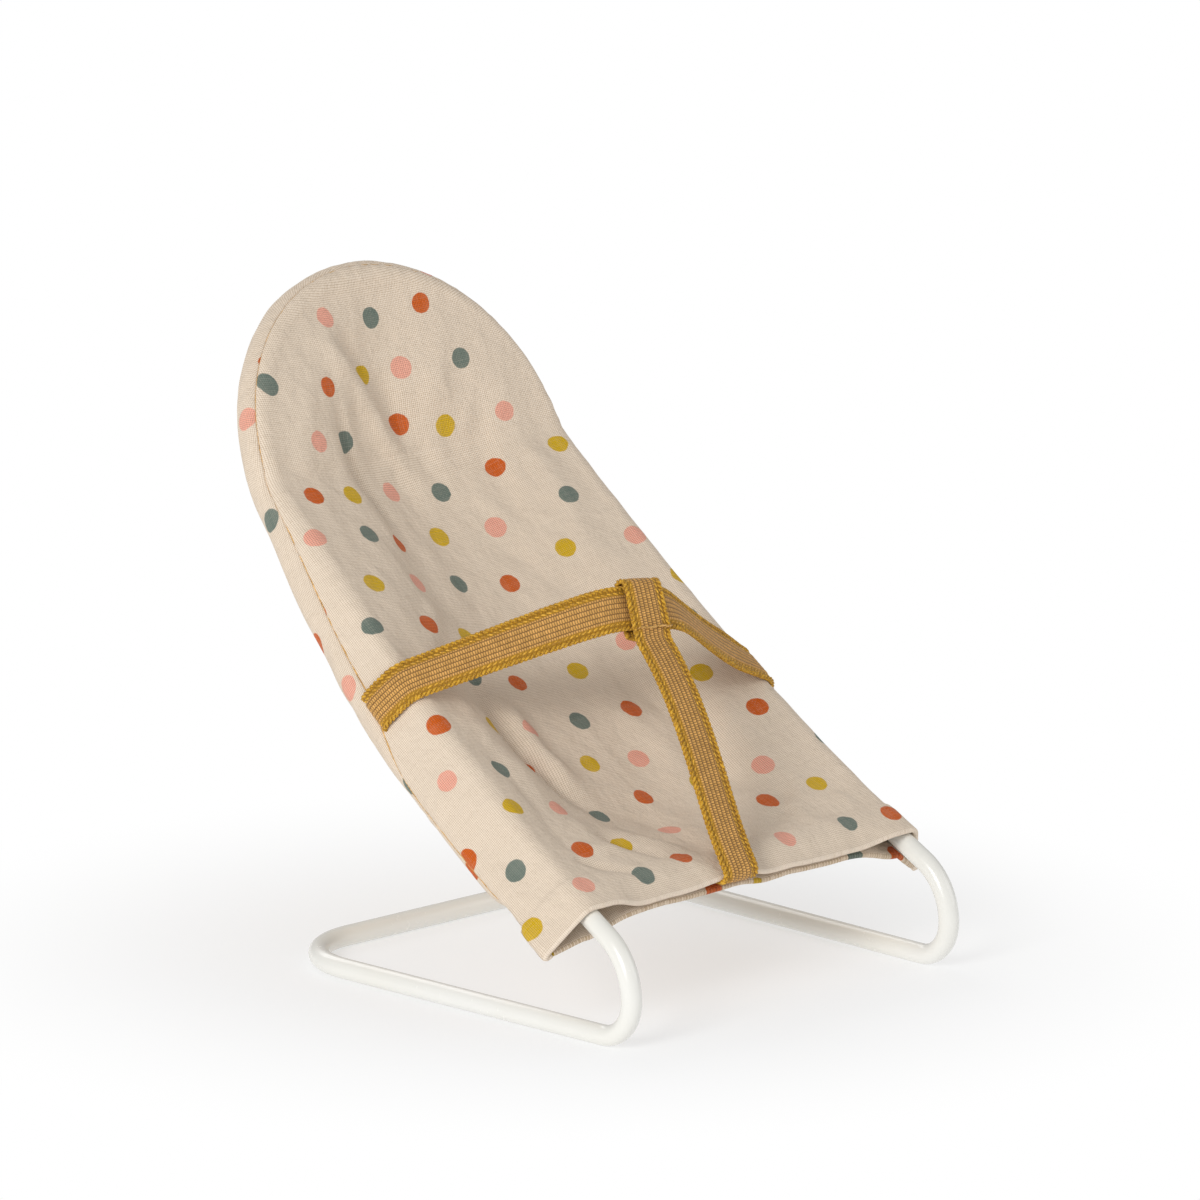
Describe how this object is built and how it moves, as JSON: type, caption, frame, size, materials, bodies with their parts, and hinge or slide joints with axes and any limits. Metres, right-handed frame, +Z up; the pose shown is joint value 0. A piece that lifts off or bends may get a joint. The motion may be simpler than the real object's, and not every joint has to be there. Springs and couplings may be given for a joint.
{
  "type": "doll bouncer seat",
  "caption": "Doll-size bouncer seat: a springy bent-wire frame, a sewn spotted cotton cover and a webbing waist belt with crotch strap.",
  "frame": {"origin": "on the floor, below the middle of the object's box", "axes": "+X to the sitter's left, +Y to the back where the head lies, +Z up"},
  "size_m": [0.1, 0.1288, 0.1272],
  "materials": {
    "white_wire": "glossy off-white powder coat",
    "spotted_cotton": "cream plain-weave cotton with small spots in rust, mustard, pink and sage",
    "webbing": "tan ribbed tape with mustard twisted edges",
    "thread": "mustard sewing thread"
  },
  "bodies": {
    "base": {"base_wire": "white_wire"},
    "seat": {"seat_wire": "white_wire", "cover_front": "spotted_cotton", "cover_back": "spotted_cotton", "belt_end_left": "webbing", "belt_end_right": "webbing", "crotch_strap": "webbing"},
    "belt": {"waist_belt": "webbing", "crotch_loop": "webbing", "loop_tack": "thread"}
  },
  "joints": [
    {"name": "bounce", "type": "hinge", "parent": "base", "child": "seat", "pos_m": [0, -0.06245, 0.0095], "axis": [1, 0, 0], "range_deg": [-4, 2], "stiffness_Nm_per_rad": 20, "springref_deg": 0.09},
    {"name": "belt_swing", "type": "hinge", "parent": "seat", "child": "belt", "pos_m": [0.00029, -0.00575, 0.05595], "axis": [0.9863, -0.1333, -0.0968], "range_deg": [-2, 22], "stiffness_Nm_per_rad": 0.01, "springref_deg": -0.17, "deforming": ["belt_end_left", "belt_end_right", "crotch_strap"]}
  ]
}
